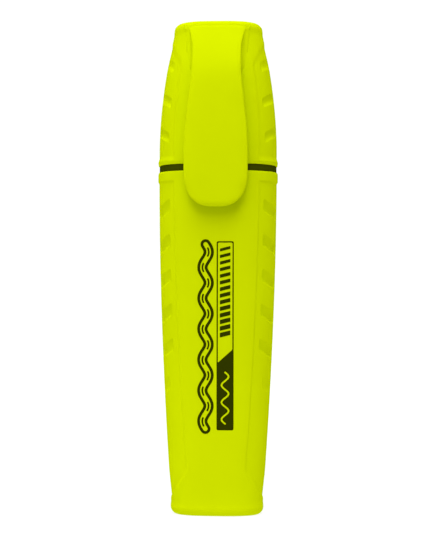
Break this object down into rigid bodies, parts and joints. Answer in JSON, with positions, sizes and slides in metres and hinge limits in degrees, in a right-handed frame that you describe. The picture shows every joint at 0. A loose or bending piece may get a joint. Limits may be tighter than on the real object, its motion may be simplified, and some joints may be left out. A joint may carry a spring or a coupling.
{
  "type": "capped highlighter",
  "caption": "Flat-barrel highlighter pen with a pull-off cap, a flexing pocket clip, grip notches in its sides, a dark front section and a chisel nib.",
  "frame": {"origin": "centre of the flat tail face that the pen stands on", "axes": "+Z along the pen from the tail to the cap, -Y is the front with the pocket clip, X across the wide flat barrel"},
  "size_m": [0.0282, 0.0215, 0.115],
  "materials": {
    "fluorescent_shell": "fluorescent yellow-green polypropylene with a fine satin moulded surface",
    "dark_holder": "dark olive satin polypropylene",
    "nib_fibre": "pressed polyester fibre soaked with ink",
    "ink_fibre": "loose polyester fibre bundle soaked with ink",
    "clear_film": "translucent film",
    "soft_seal": "natural soft polyethylene"
  },
  "bodies": {
    "barrel": {"barrel_shell": "fluorescent_shell", "nib_holder": "dark_holder", "chisel_nib": "nib_fibre", "ink_reservoir": "ink_fibre", "reservoir_film": "clear_film", "breather_tube": "clear_film"},
    "cap": {"cap_shell": "fluorescent_shell", "inner_cap": "soft_seal"},
    "clip": {"pocket_clip": "fluorescent_shell"}
  },
  "joints": [
    {"name": "cap_pull", "type": "slide", "parent": "barrel", "child": "cap", "axis": [0, 0, 1], "range_m": [0, 0.03]},
    {"name": "clip_flex", "type": "hinge", "parent": "cap", "child": "clip", "pos_m": [0, -0.0063, 0.1123], "axis": [-1, 0, 0], "range_deg": [0, 4], "stiffness_Nm_per_rad": 2.4}
  ]
}
